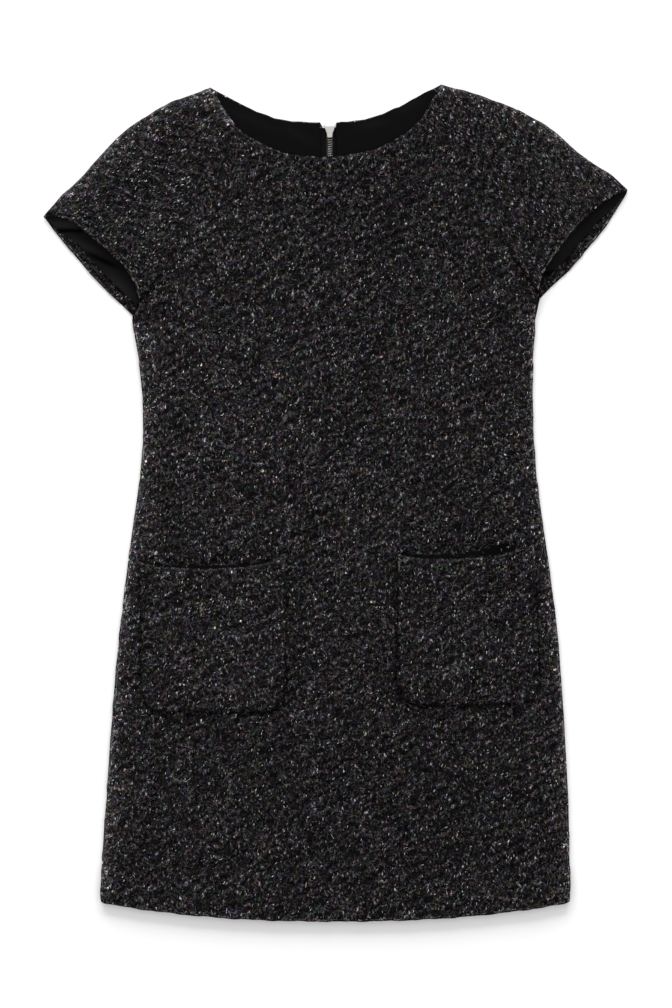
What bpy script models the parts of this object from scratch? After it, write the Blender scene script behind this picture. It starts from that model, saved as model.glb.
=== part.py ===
"""A tweed shift dress laid flat, front up, with raglan cap sleeves and a zip at the centre back.

The dress lies on the XY plane with its neck towards +Y and its front up, so the wearer's
right side is at -X.  The origin is the middle of its outline, at the height of the surface.
Sizes in the tables are millimetres; the meshes are in metres.
"""
import math

import bmesh
import bpy
import numpy as np

# Driving sizes, in millimetres
TWEED = 2.0            # one layer of boucle tweed
TURN_UP = 3.6          # a pressed hem: two layers of tweed
LINING = 1.0
TAPE = 0.7
SEAM_GAP = 0.3         # between two pieces that are sewn together
LAYER_GAP = 0.35       # between a piece and what lies on it
EDGE_ROLL = 9.0        # how far in from a closed edge the front rises to its full height
FRONT_LEVEL = 7.2      # outer face of the front, away from its edges
FOLD_LEVEL = 7.9       # outer face of the front over a turned-up hem
FRONT_CROWN = 0.6      # what the front rises further towards its middle
CUFF_GAPE = 6.5        # how far the front of a cuff stands off the back
CUFF_FADE = 55.0       # how far up the sleeve that dies away
CUFF_BAND = 11.0       # tweed turned in at the cuff, before the lining starts
CUFF_BARE = 1.2        # the same at the over-arm end, where the lining reaches the edge
CUFF_EASE = 0.33       # share of the cuff over which the band grows to its full width
CUFF_TUCK = 22.0       # how far the cuff's lining runs on under the front
HEM_DROP = 20.0        # depth of the hem's curve
HEM_REACH = 250.0      # half of the hem's width
NECK_DROP = 37.3       # depth of the front neckline's curve
BACK_NECK_DROP = 5.5
NECK_LINING_IN = 1.4   # how far the neck's lining stays inside the back neckline
NECK_LINING_TUCK = 14.0  # how far it runs on under the front neckline
HEM_STEP = 2.0         # how much shorter the back hangs

ZIP_X = -6.3
ZIP_TOP = 399.5
ZIP_BOTTOM = -98.0
ZIP_SLOT = 3.4         # half of the gap between the two backs
CHAIN_HALF_WIDTH = 2.8
CHAIN_HALF_HEIGHT = 1.2
ZIP_SWELL = 1.0        # how far the front rises over the slider
ZIP_LOW = 2.9          # mid height of the chain under the front
ZIP_HIGH = 4.8         # mid height of the chain at the slider
TAPE_WIDTH = 11.0

SLIDER_Y = 395.2
SLIDER_LENGTH = 12.0
SLIDER_HALF_WIDTH = 4.8
SLIDER_PLATE = 0.8
SLIDER_GAP = 3.0       # between the slider's two plates
BAIL_HALF_LENGTH = 3.25
BAIL_HALF_WIDTH = 0.9
BAIL_WIRE = 0.8
BAIL_DEPTH = 2.3
PULL_AXIS_Z = 1.65
PULL_LENGTH = 22.0
PULL_HALF_WIDTH = 2.45
PULL_THICKNESS = 0.9
PULL_WINDOW = 3.9      # from the axis to the far end of the window round the bail

# Sleeves, a row for each section from the neck to the cuff.
# section, over-arm edge x, y, front seam x, y, back seam x, y
LEFT_SLEEVE = (
    ("neck", -133.5, 442.3, -106.5, 401.5, -96.0, 422.6),
    ("yoke", -186.0, 421.8, -137.0, 362.0, -128.0, 372.0),
    ("chest", -232.0, 390.0, -155.0, 323.0, -152.0, 322.0),
    ("armhole", -263.0, 355.5, -168.0, 281.0, -170.0, 275.0),
    ("bicep", -290.0, 329.0, -182.0, 249.0, -192.0, 232.0),
    ("cuff", -311.5, 305.5, -209.0, 213.5, -216.5, 199.5),
)
RIGHT_SLEEVE = (
    ("neck", 112.3, 446.0, 93.0, 411.0, 80.0, 429.2),
    ("yoke", 166.0, 430.0, 124.0, 376.5, 116.0, 378.0),
    ("chest", 222.0, 404.5, 149.5, 346.5, 143.0, 330.0),
    ("armhole", 257.0, 374.0, 165.5, 310.0, 163.0, 285.0),
    ("bicep", 291.0, 351.5, 187.5, 264.0, 188.0, 246.0),
    ("cuff", 311.5, 333.5, 215.5, 224.0, 215.8, 219.0),
)
# How far each cuff edge bows towards the shoulder, and how square that bow is.
# cuff, front bow, front power, back bow, back power
CUFFS = {
    "left": (18.0, 4.0, -3.5, 2.0),
    "right": (14.5, 3.0, -7.5, 2.5),
}
# Sides, a row for each section from under the arm to the hem.  section, y, left x, right x
SIDES = (
    ("underarm", 194.0, -216.9, 213.0),
    ("bust", 152.0, -209.6, 210.5),
    ("ribs", 110.0, -205.3, 210.0),
    ("waist", 67.0, -205.0, 211.3),
    ("high_hip", 24.0, -208.8, 214.7),
    ("hip", -18.0, -214.6, 220.1),
    ("pocket_mouth", -58.0, -220.4, 226.1),
    ("zip_end", -100.0, -225.9, 231.8),
    ("seat", -113.0, -227.5, 233.4),
    ("mid_pocket", -150.0, -231.7, 237.3),
    ("pocket_base", -225.0, -238.1, 242.9),
    ("thigh", -317.0, -244.6, 247.7),
    ("above_fold", -386.0, -249.3, 249.6),
    ("fold", -396.0, -250.0, 249.9),
    ("hem", -426.0, -250.6, 250.2),
)
# Patch pockets: side, mouth left x, y, mouth right x, y, base left x, base right x, base y,
# how far the mouth sags, how far it gapes, and where along it that is greatest
POCKETS = (
    ("left", -208.5, -63.5, -53.0, -58.5, -207.5, -53.5, -223.0, 9.0, 5.5, 0.5),
    ("right", 66.0, -54.5, 212.5, -43.5, 64.5, 219.0, -215.0, 10.0, 7.0, 0.72),
)
POCKET_CORNER = 26.0
POCKET_FADE = 38.0     # how far down the pocket its gape dies away
POCKET_DEPTHS = (0, 7, 16, 28, 44, 66, 92)  # rows of a pocket above its round corners
# Where each half of the back neckline turns down to the zip: distance from the zip, y
NECK_CORNERS = {"left": (10.3, 406.0), "right": (6.8, 405.5)}
# Columns across the panels, as shares of their width
FRONT_COLUMNS = (0, 0.008, 0.022, 0.05, 0.11, 0.18, 0.26, 0.34, 0.42, 0.475,
                 0.53, 0.6, 0.68, 0.76, 0.83, 0.89, 0.95, 0.978, 0.992, 1)
BACK_COLUMNS = (0, 0.16, 0.4, 0.64, 0.86, 1)
SLEEVE_COLUMNS = (0, 0.03, 0.08, 0.2, 0.36, 0.54, 0.72, 0.88, 1)
POCKET_COLUMNS = (0, 0.05, 0.16, 0.3, 0.44, 0.58, 0.72, 0.86, 0.95, 1)
SEAM_STEPS = 3         # rows for each section of a sleeve

TWEED_COLOUR = (0.021, 0.018, 0.020)
LINING_COLOUR = (0.005, 0.005, 0.006)
METAL_COLOUR = (0.62, 0.61, 0.58)


def make_material(name, colour, roughness, metallic):
    material = bpy.data.materials.new(name)
    material.use_nodes = True
    shader = material.node_tree.nodes["Principled BSDF"]
    shader.inputs["Base Color"].default_value = (*colour, 1)
    shader.inputs["Roughness"].default_value = roughness
    shader.inputs["Metallic"].default_value = metallic
    return material


def smooth(share):
    """Ease from 0 to 1 as share goes from 0 to 1."""
    t = min(max(share, 0.0), 1.0)
    return t * t * (3 - 2 * t)


def spline(points, steps):
    """Points along a smooth curve through the given points, with steps to each stretch."""
    p = np.array(points, float)
    ends = np.vstack([2 * p[0] - p[1], p, 2 * p[-1] - p[-2]])
    line = []
    for i in range(1, len(ends) - 2):
        a, b, c, d = ends[i - 1:i + 3]
        for t in np.arange(steps) / steps:
            line.append(0.5 * (2 * b + (c - a) * t + (2 * a - 5 * b + 4 * c - d) * t ** 2
                               + (3 * b - a - 3 * c + d) * t ** 3))
    line.append(p[-1])
    return np.array(line)


def moved_in(line, distance):
    """A line moved sideways, to its left as it runs for a positive distance."""
    run = np.gradient(line, axis=0)
    run /= np.linalg.norm(run, axis=1)[:, None]
    return line + distance * np.column_stack([-run[:, 1], run[:, 0]])


def across(start, end, columns, bow, power):
    """A row from start to end that bows to its left as it runs."""
    chord = end - start
    side = np.array([-chord[1], chord[0]]) / np.linalg.norm(chord)
    return [start + chord * u + side * bow * (1 - abs(2 * u - 1) ** power) for u in columns]


def distance_to(line, x, y):
    """Shortest distance from a point to a line of points."""
    start = line[:-1]
    run = line[1:] - start
    to_point = np.array([x, y]) - start
    share = np.clip((to_point * run).sum(1) / (run * run).sum(1), 0, 1)
    return np.linalg.norm(to_point - run * share[:, None], axis=1).min()


# Lines that the panels share
SLEEVES = {"left": LEFT_SLEEVE, "right": RIGHT_SLEEVE}
OVERARM = {side: spline([row[1:3] for row in rows], SEAM_STEPS) for side, rows in SLEEVES.items()}
FRONT_SEAM = {side: spline([row[3:5] for row in rows], SEAM_STEPS) for side, rows in SLEEVES.items()}
BACK_SEAM = {side: spline([row[5:7] for row in rows], SEAM_STEPS) for side, rows in SLEEVES.items()}
SIDE = {"left": np.array([(row[2], row[1]) for row in SIDES]),
        "right": np.array([(row[3], row[1]) for row in SIDES])}
CUFF_ENDS = {side: (OVERARM[side][-1], BACK_SEAM[side][-1]) for side in SLEEVES}
CLOSED_EDGES = [*OVERARM.values(), *SIDE.values()]


def hem_curve(x):
    """How far the hem hangs below its corners at x."""
    return HEM_DROP * (1 - abs(min(max(x / HEM_REACH, -1.0), 1.0)) ** 2.3)


def folded(x, y):
    """1 on the turned-up hem, 0 above it."""
    above_hem = y + hem_curve(x) - SIDES[-1][1]
    return smooth((SIDES[-3][1] - SIDES[-1][1] - above_hem) / (SIDES[-3][1] - SIDES[-2][1]))


def cuff_gape(x, y):
    """How far the front of a sleeve stands off the back."""
    lift = 0.0
    for tip, pit in CUFF_ENDS.values():
        chord = pit - tip
        to_point = np.array([x, y]) - tip
        along = to_point @ chord / (chord @ chord)
        inward = np.linalg.norm(to_point - along * chord)
        if 0 < along < 1:
            lift += CUFF_GAPE * (1 - abs(2 * along - 1) ** 2.2) * math.exp(-(inward / CUFF_FADE) ** 2)
    return lift


def front_face(x, y):
    """Height of the outer face of the front and the sleeves' fronts."""
    edge = min(distance_to(line, x, y) for line in CLOSED_EDGES)
    closed = 2 * TWEED + LAYER_GAP
    z = closed + (FRONT_LEVEL - closed) * smooth(edge / EDGE_ROLL) + FRONT_CROWN * smooth(edge / 150)
    z += folded(x, y) * max(FOLD_LEVEL - z, 0)
    z += ZIP_SWELL * math.exp(-((x - ZIP_X) / 24) ** 2 - ((y - 372) / 38) ** 2)
    return z + cuff_gape(x, y)


def cloth(x, y):
    """Thickness of the tweed."""
    return TWEED + (TURN_UP - TWEED) * folded(x, y)


def front_inside(x, y):
    return front_face(x, y) - cloth(x, y)


def flat(x, y):
    return 0.0


def zip_middle(y):
    """Height of the middle of the chain."""
    return ZIP_LOW + (ZIP_HIGH - ZIP_LOW) * smooth((y - 300) / 60)


def tape_under(x, y):
    rest = TWEED + LAYER_GAP
    out = abs(x - ZIP_X) - CHAIN_HALF_WIDTH
    return zip_middle(y) - TAPE / 2 + (rest - zip_middle(y) + TAPE / 2) * smooth(out / 8)


def tape_top(x, y):
    return tape_under(x, y) + TAPE


def lining_under(x, y):
    """The lining lies on the backs, and on the zip's tape near the zip."""
    over_tape = tape_top(x, y) + 0.5
    away = smooth((abs(x - ZIP_X) - CHAIN_HALF_WIDTH - TAPE_WIDTH - 1) / 8)
    return over_tape + (TWEED + LAYER_GAP - over_tape) * away


def lining_top(x, y):
    return lining_under(x, y) + LINING


def make_patch(name, rows, low, high, material):
    """A sheet through rows of points, extruded from its low face up to its high one."""
    bm = bmesh.new()
    grid = [[bm.verts.new((x, y, 0)) for x, y in row] for row in rows]
    for near, far in zip(grid, grid[1:]):
        for a, b, c, d in zip(near, near[1:], far[1:], far):
            bm.faces.new((a, b, c, d))
    lower = list(bm.verts)
    raised = bmesh.ops.extrude_face_region(bm, geom=list(bm.faces), use_keep_orig=True)
    upper = [item for item in raised["geom"] if isinstance(item, bmesh.types.BMVert)]
    for vertex in lower:
        vertex.co.z = low(vertex.co.x, vertex.co.y)
    for vertex in upper:
        vertex.co.z = high(vertex.co.x, vertex.co.y)
    return finish(name, bm, material)


def finish(name, bm, material):
    """Turn a mesh in millimetres into an object in metres."""
    bmesh.ops.recalc_face_normals(bm, faces=bm.faces)
    bmesh.ops.scale(bm, vec=(0.001, 0.001, 0.001), verts=bm.verts)
    mesh = bpy.data.meshes.new(name)
    bm.to_mesh(mesh)
    bm.free()
    mesh.materials.append(material)
    item = bpy.data.objects.new(name, mesh)
    bpy.context.scene.collection.objects.link(item)
    return item


def panel_rows(left, right, columns, top_bow, top_power, fade_rows):
    """Rows of a body panel: the neck's curve fades out downwards and the hem's fades in."""
    rows = []
    for i, (start, end) in enumerate(zip(left, right)):
        neck = max(0.0, 1 - i / fade_rows) ** 1.6
        hem = smooth((SIDES[-6][1] - min(start[1], end[1])) / (SIDES[-6][1] - SIDES[-3][1]))
        row = np.array(across(start, end, columns, -top_bow * neck, top_power))
        row[:, 1] -= [hem * hem_curve(x) for x in row[:, 0]]
        rows.append(row)
    return rows


def make_front(material):
    """The front: neckline, raglan seams and sides in one piece down to the hem."""
    half = SEAM_GAP / 2
    left = np.vstack([moved_in(FRONT_SEAM["left"], half), SIDE["left"]])
    right = np.vstack([moved_in(FRONT_SEAM["right"], -half), SIDE["right"]])
    rows = panel_rows(left, right, FRONT_COLUMNS, NECK_DROP, 2.5, len(FRONT_SEAM["left"]))
    make_patch("front_panel", rows, front_inside, front_face, material)


def make_back(side, material):
    """One half of the back, from its raglan seam and side to the zip and the centre seam."""
    sign = -1 if side == "left" else 1
    half = SEAM_GAP / 2
    outer = np.vstack([moved_in(BACK_SEAM[side], -sign * half), SIDE[side]])
    outer[-1, 1] += HEM_STEP
    inner = []
    for i, point in enumerate(outer):
        slot = ZIP_SLOT if point[1] > ZIP_BOTTOM - 5 else half
        y = point[1] - 5
        if i == 0:
            slot, y = NECK_CORNERS[side]
        elif i == 1:
            slot, y = ZIP_SLOT + 1.2, 396.0
        elif i == 2:
            y = 386.0
        inner.append((ZIP_X + sign * slot, y if point[1] > ZIP_BOTTOM else point[1]))
    rows = panel_rows(outer, np.array(inner), BACK_COLUMNS, sign * -BACK_NECK_DROP, 2, 6)
    make_patch("back_" + side, rows, flat, cloth, material)


def make_sleeves(side, material):
    """The front and the back of one raglan cap sleeve."""
    sign = -1 if side == "left" else 1
    half = SEAM_GAP / 2
    front_bow, front_power, back_bow, back_power = CUFFS[side]
    layers = (("front", FRONT_SEAM, front_bow, front_power, front_inside, front_face),
              ("back", BACK_SEAM, back_bow, back_power, flat, cloth))
    for layer, seams, bow, power, low, high in layers:
        seam = moved_in(seams[side], sign * half)
        arm = OVERARM[side]
        rows = []
        for i, (start, end) in enumerate(zip(arm, seam)):
            share = (i / (len(arm) - 1)) ** 3
            rows.append(across(start, end, SLEEVE_COLUMNS, -sign * bow * share, power))
        make_patch(f"sleeve_{layer}_{side}", rows, low, high, material)


def make_pocket(row, material):
    """A patch pocket laid on the front, with round lower corners and a mouth that gapes."""
    side, left_x, left_y, right_x, right_y, base_left, base_right, base_y, sag, gape, peak = row
    height = (left_y + right_y) / 2 - base_y
    corner = [height - POCKET_CORNER * (1 - math.sin(turn * math.pi / 8)) for turn in range(5)]
    rows = []
    for depth in [*POCKET_DEPTHS, *corner]:
        share = depth / height
        near_base = max(0.0, depth - (height - POCKET_CORNER))
        inset = POCKET_CORNER - math.sqrt(POCKET_CORNER ** 2 - near_base ** 2)
        inset = min(inset, POCKET_CORNER * 0.8)
        start = np.array([left_x + (base_left - left_x) * share + inset,
                          left_y + (base_y - left_y) * share])
        end = np.array([right_x + (base_right - right_x) * share - inset,
                        right_y + (base_y - right_y) * share])
        rows.append(across(start, end, POCKET_COLUMNS, -sag * (1 - share) ** 2, 2.2))

    def under(x, y):
        along = (x - left_x) / (right_x - left_x)
        mouth = left_y + (right_y - left_y) * along - sag
        swell = math.exp(-((along - peak) / 0.24) ** 2) * smooth(6 * along) * smooth(6 * (1 - along))
        stand = gape * swell * math.exp(-(max(mouth - y, 0) / POCKET_FADE) ** 2)
        return front_face(x, y) + LAYER_GAP + stand

    make_patch("pocket_" + side, rows, under, lambda x, y: under(x, y) + TWEED, material)


def make_neck_lining(side, material):
    """The lining inside the back neck, which runs on under the front neckline."""
    sign = -1 if side == "left" else 1
    start_x = -126.0 if side == "left" else 105.0
    end_x = ZIP_X + sign * (NECK_CORNERS[side][0] + SEAM_GAP)
    rows = []
    for share in np.linspace(0, 1, 13):
        x = start_x + (end_x - start_x) * share
        top, turn, end = back_neck(x) - NECK_LINING_IN, back_neck(x) - 5, front_neck(x) - NECK_LINING_TUCK
        rows.append([(x, top), *[(x, turn + (end - turn) * s) for s in (0, 0.35, 0.7, 1.0)]])
    make_patch("lining_back_" + side, rows, lining_under, lining_top, material)


def back_neck(x):
    """Height up the dress of the back neckline at x."""
    side = "left" if x < ZIP_X else "right"
    tip, joint = OVERARM[side][0], BACK_SEAM[side][0]
    if abs(x - ZIP_X) > abs(joint[0] - ZIP_X):
        return joint[1] + (tip[1] - joint[1]) * (x - joint[0]) / (tip[0] - joint[0])
    slot, corner_y = NECK_CORNERS[side]
    corner_x = ZIP_X - slot if side == "left" else ZIP_X + slot
    along = (x - joint[0]) / (corner_x - joint[0])
    return joint[1] + (corner_y - joint[1]) * along - BACK_NECK_DROP * (1 - (2 * along - 1) ** 2)


def front_neck(x):
    """Height up the dress of the front neckline at x."""
    left, right = FRONT_SEAM["left"][0], FRONT_SEAM["right"][0]
    along = (x - left[0]) / (right[0] - left[0])
    if 0 <= along <= 1:
        return left[1] + (right[1] - left[1]) * along - NECK_DROP * (1 - abs(2 * along - 1) ** 2.5)
    side = "left" if along < 0 else "right"
    tip, joint = OVERARM[side][0], FRONT_SEAM[side][0]
    return joint[1] + (tip[1] - joint[1]) * (x - joint[0]) / (tip[0] - joint[0])


def make_cuff_lining(side, material):
    """The lining inside a cuff, on the back of the sleeve."""
    sign = -1 if side == "left" else 1
    tip, pit = CUFF_ENDS[side]
    chord = pit - tip
    inward = -sign * np.array([-chord[1], chord[0]]) / np.linalg.norm(chord)
    back_bow, back_power = CUFFS[side][2:]
    front_bow, front_power = CUFFS[side][:2]
    rows = []
    for along in np.linspace(0.045, 0.955, 11):
        bow = 1 - abs(2 * along - 1) ** back_power
        band = CUFF_BARE + (CUFF_BAND - CUFF_BARE) * smooth((along - 0.04) / CUFF_EASE)
        outer = tip + chord * along + inward * (back_bow * bow + band)
        hidden = front_bow * (1 - abs(2 * along - 1) ** front_power) + CUFF_TUCK
        inner = tip + chord * along + inward * hidden
        rows.append([outer + (inner - outer) * s for s in (0, 0.3, 0.65, 1.0)])

    def under(x, y):
        return cloth(x, y) + LAYER_GAP

    make_patch("lining_sleeve_" + side, rows, under, lambda x, y: under(x, y) + LINING, material)


def make_zip(tape_material, metal):
    """Two tapes, the closed chain as a plain bar, the stops, the slider and its pull tab."""
    stations = [ZIP_TOP, 392, 384, 372, 360, 348, 336, 324, 312, 300, 200, 60, -30, ZIP_BOTTOM]
    for side, sign in (("left", -1), ("right", 1)):
        inner = CHAIN_HALF_WIDTH + SEAM_GAP
        reach = [inner + TAPE_WIDTH * s for s in (0, 0.25, 0.5, 0.75, 1)]
        rows = [[(ZIP_X + sign * out, y) for out in reach] for y in stations]
        make_patch("zip_tape_" + side, rows, tape_under, tape_top, tape_material)
        stop_x = ZIP_X + sign * (inner + 2.4)
        make_bar("zip_top_stop_" + side, (stop_x - 1.1, stop_x + 1.1), (400.0, 402.6),
                 lambda x, y: ZIP_HIGH - 1.0, lambda x, y: ZIP_HIGH + 1.0, metal)
    chain_top = SLIDER_Y + 1.5
    chain = [[(ZIP_X + out, y) for out in (-CHAIN_HALF_WIDTH, CHAIN_HALF_WIDTH)]
             for y in (chain_top, *stations[2:-1], ZIP_BOTTOM + 4)]
    make_patch("zip_chain", chain, lambda x, y: zip_middle(y) - CHAIN_HALF_HEIGHT,
               lambda x, y: zip_middle(y) + CHAIN_HALF_HEIGHT, metal)
    make_bar("zip_bottom_stop", (ZIP_X - 2.6, ZIP_X + 2.6), (ZIP_BOTTOM, ZIP_BOTTOM + 3.6),
             lambda x, y: ZIP_LOW - 1.2, lambda x, y: ZIP_LOW + 1.2, metal)
    make_slider(metal)
    make_pull_tab(metal)


def make_bar(name, x_range, y_range, low, high, material):
    rows = [[(x, y) for x in x_range] for y in y_range]
    return make_patch(name, rows, low, high, material)


def plate_rows():
    """Outline of a slider plate, wide towards the neck and narrow towards the chain."""
    # distance from the narrow end as a share of the length, half width as a share
    shape = ((0, 0.42), (0.06, 0.52), (0.3, 0.56), (0.55, 0.8), (0.72, 0.98),
             (0.86, 1.0), (0.95, 0.86), (1, 0.62))
    start = SLIDER_Y - SLIDER_LENGTH / 2
    return [[(ZIP_X + side * half * SLIDER_HALF_WIDTH, start + share * SLIDER_LENGTH)
             for side in (-1, 0, 1)] for share, half in shape]


def join(base, other):
    """Unite another solid with base, and drop it."""
    modifier = base.modifiers.new("join", "BOOLEAN")
    modifier.operation = "UNION"
    modifier.solver = "EXACT"
    modifier.object = other
    other.hide_render = True
    other.display_type = "WIRE"


def make_slider(metal):
    """Two plates on a wedge, with the bail under the outer plate that holds the pull tab."""
    middle = ZIP_HIGH
    inner_low = middle + SLIDER_GAP / 2
    outer_low = middle - SLIDER_GAP / 2 - SLIDER_PLATE
    bail_low = outer_low - BAIL_DEPTH
    slider = make_patch("zip_slider", plate_rows(), lambda x, y: inner_low,
                        lambda x, y: inner_low + SLIDER_PLATE, metal)
    outer = make_patch("outer_plate_shape", plate_rows(), lambda x, y: outer_low,
                       lambda x, y: outer_low + SLIDER_PLATE, metal)
    wedge = make_bar("wedge_shape", (ZIP_X - 1.2, ZIP_X + 1.2), (SLIDER_Y + 2.2, SLIDER_Y + 5.4),
                     lambda x, y: outer_low + 0.4, lambda x, y: inner_low + 0.4, metal)
    join(slider, wedge)
    join(slider, outer)
    bail_x = (ZIP_X - BAIL_HALF_WIDTH, ZIP_X + BAIL_HALF_WIDTH)
    for end in (-1, 1):
        far = SLIDER_Y + end * BAIL_HALF_LENGTH
        near = far - end * BAIL_WIRE
        leg = make_bar("bail_leg_shape", bail_x, (min(near, far), max(near, far)),
                       lambda x, y: bail_low + 0.1, lambda x, y: outer_low + 0.4, metal)
        join(slider, leg)
    strap = make_bar("bail_strap_shape", bail_x,
                     (SLIDER_Y - BAIL_HALF_LENGTH, SLIDER_Y + BAIL_HALF_LENGTH),
                     lambda x, y: bail_low, lambda x, y: bail_low + BAIL_WIRE * 0.75, metal)
    join(slider, strap)


def make_pull_tab(metal):
    """A flat tab with a window round the bail; it hangs on the axis at the object's origin."""
    half = PULL_THICKNESS / 2
    width = PULL_HALF_WIDTH
    # distance from the axis, half width
    outline = ((-half, 0.8 * width), (half, width), (8, width), (11, 0.72 * width),
               (15, 0.82 * width), (19, width), (21, 0.86 * width), (PULL_LENGTH, 0.5 * width))
    rows = [[(side * reach, -along) for side in (-1, 0, 1)] for along, reach in outline]
    tab = make_patch("zip_pull_tab", rows, lambda x, y: -half, lambda x, y: half, metal)
    window = make_bar("window_shape", (-1.25, 1.25), (-PULL_WINDOW, -half),
                      lambda x, y: -2.0, lambda x, y: 2.0, metal)
    cut = tab.modifiers.new("window", "BOOLEAN")
    cut.operation = "DIFFERENCE"
    cut.solver = "EXACT"
    cut.object = window
    window.hide_render = True
    window.display_type = "WIRE"
    place = (ZIP_X / 1000, SLIDER_Y / 1000, PULL_AXIS_Z / 1000)
    tab.location = place
    window.location = place


def main():
    for item in list(bpy.data.objects):
        bpy.data.objects.remove(item, do_unlink=True)
    tweed = make_material("boucle_tweed", TWEED_COLOUR, 0.95, 0)
    lining = make_material("satin_lining", LINING_COLOUR, 0.5, 0)
    tape = make_material("zip_tape", LINING_COLOUR, 0.8, 0)
    metal = make_material("nickel_zip", METAL_COLOUR, 0.3, 1)
    make_front(tweed)
    for side in SLEEVES:
        make_back(side, tweed)
        make_sleeves(side, tweed)
        make_neck_lining(side, lining)
        make_cuff_lining(side, lining)
    for row in POCKETS:
        make_pocket(row, tweed)
    make_zip(tape, metal)


main()
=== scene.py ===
# %% [markdown]
# # A boucle tweed shift dress, laid flat
# The dress lies front up with its neck towards +Y.  The imported CAD model gives every cut piece
# its place and outline.  This lesson turns those plain solids into cloth: it refines a copy of
# each one, rolls its edges, presses creases into it, and then gives it tweed, lining or metal.
# The frame is loaded first.

# %% Load the frame
import math

import bmesh
import bpy
import numpy as np
from mathutils.kdtree import KDTree
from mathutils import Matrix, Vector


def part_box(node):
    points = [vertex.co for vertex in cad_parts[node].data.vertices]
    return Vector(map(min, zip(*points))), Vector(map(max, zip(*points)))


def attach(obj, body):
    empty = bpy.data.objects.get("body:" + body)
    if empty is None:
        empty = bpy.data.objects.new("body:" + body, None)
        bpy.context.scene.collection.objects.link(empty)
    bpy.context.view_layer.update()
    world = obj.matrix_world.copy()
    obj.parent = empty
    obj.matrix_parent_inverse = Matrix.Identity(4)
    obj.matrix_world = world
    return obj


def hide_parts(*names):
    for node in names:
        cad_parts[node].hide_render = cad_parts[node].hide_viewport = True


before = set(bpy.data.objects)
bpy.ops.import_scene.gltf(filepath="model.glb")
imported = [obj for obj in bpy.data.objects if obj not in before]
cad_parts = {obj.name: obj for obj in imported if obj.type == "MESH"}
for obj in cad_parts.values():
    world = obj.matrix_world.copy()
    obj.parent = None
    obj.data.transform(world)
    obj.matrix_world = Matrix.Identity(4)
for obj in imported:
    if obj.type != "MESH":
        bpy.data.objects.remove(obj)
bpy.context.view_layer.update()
MM = 0.001

# %% [markdown]
# ## Helpers for pieces
# Blender's operators act on whatever is selected, and the loaded nodes start selected.  So each
# step first selects just the piece it works on.  A copy of a CAD node comes in as loose
# triangles, and merging its doubled points makes it one closed skin again.


# %% Select, copy and finish a piece
def select_only(piece):
    """Select one piece and make it the active one."""
    bpy.ops.object.select_all(action="DESELECT")
    piece.select_set(True)
    bpy.context.view_layer.objects.active = piece


def copy_of(node, name):
    """A new piece with the CAD node's mesh, its doubled points merged."""
    piece = bpy.data.objects.new(name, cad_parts[node].data.copy())
    piece.data.name = name
    piece.data.materials.clear()
    bpy.context.scene.collection.objects.link(piece)
    select_only(piece)
    bpy.ops.mesh.customdata_custom_splitnormals_clear()
    bpy.ops.object.mode_set(mode="EDIT")
    bpy.ops.mesh.select_all(action="SELECT")
    bpy.ops.mesh.remove_doubles(threshold=0.02 * MM)
    bpy.ops.object.mode_set(mode="OBJECT")
    return piece


def points_of(piece):
    """The piece's points in millimetres."""
    flat = np.zeros(len(piece.data.vertices) * 3)
    piece.data.vertices.foreach_get("co", flat)
    return flat.reshape(-1, 3) / MM


def move_points(piece, points):
    """Put the piece's points at these places, in millimetres."""
    piece.data.vertices.foreach_set("co", (points * MM).ravel())
    piece.data.update()


def finish(piece, body, material, replaced=None):
    """Smooth shading, a material, a body to ride on and the node it stands for."""
    select_only(piece)
    bpy.ops.object.shade_smooth_by_angle(angle=math.radians(50))
    piece.data.materials.clear()
    piece.data.materials.append(material)
    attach(piece, body)
    if replaced:
        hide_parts(replaced)
    triangles = sum(len(face.vertices) - 2 for face in piece.data.polygons)
    print(f"{piece.name}: {triangles} triangles")


# %% [markdown]
# ## Helpers for materials
# Colours are written as sRGB hex values, as a colour picker shows them, and one function turns
# them to the linear values that the shader works in.  One small function adds a node with its
# settings and links.


# %% Colour and node helpers
def linear(colour):
    """sRGB hex to a linear colour with full alpha."""
    parts = [int(colour[i:i + 2], 16) / 255 for i in (1, 3, 5)]
    return (*[c / 12.92 if c <= 0.04045 else ((c + 0.055) / 1.055) ** 2.4 for c in parts], 1.0)


def add(tree, kind, inputs, out=0, stops=(), **settings):
    """Add a node with its settings and links, and return one of its output sockets.

    inputs maps a socket's name or number to a value or to another socket.  stops are a colour
    ramp's positions and grey levels."""
    node = tree.nodes.new(kind)
    for key, value in settings.items():
        setattr(node, key, value)
    for key, value in inputs.items():
        if isinstance(value, bpy.types.NodeSocket):
            tree.links.new(value, node.inputs[key])
        else:
            node.inputs[key].default_value = value
    if stops:
        ramp = node.color_ramp.elements
        while len(ramp) < len(stops):
            ramp.new(1.0)
        for element, (position, level) in zip(ramp, stops):
            element.position = position
            element.color = (level, level, level, 1)
    return node.outputs[out]


def new_material(name):
    """A material, its node tree and its shader."""
    material = bpy.data.materials.new(name)
    material.use_nodes = True
    return material, material.node_tree, material.node_tree.nodes["Principled BSDF"]


print("helpers are ready")

# %% [markdown]
# ## Boucle tweed
# Boucle is woven from yarn with small loops.  Its face shows short floats of yarn that run along
# the dress and step sideways from row to row, which draws faint diagonal ribs.  Most of the yarn
# is near black, some is grey, and a few slubs are pale or dyed.  An image of tweed would repeat,
# and would stretch over the creases, so the cloth is drawn with nodes that read the object's own
# coordinates: a Voronoi texture on a slanted lattice gives one random value to each float, thin
# level lines of a noise curl as loops do, and a sine across the diagonal gives the ribs.

# %% Sizes of the weave, in millimetres and degrees
YARN_PITCH = 3.2
FLOAT_LENGTH = 3.0
RIB_PITCH = 10.2
RIB_ANGLE = 28
STRAY = 3.0            # how far a float strays from its place
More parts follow.
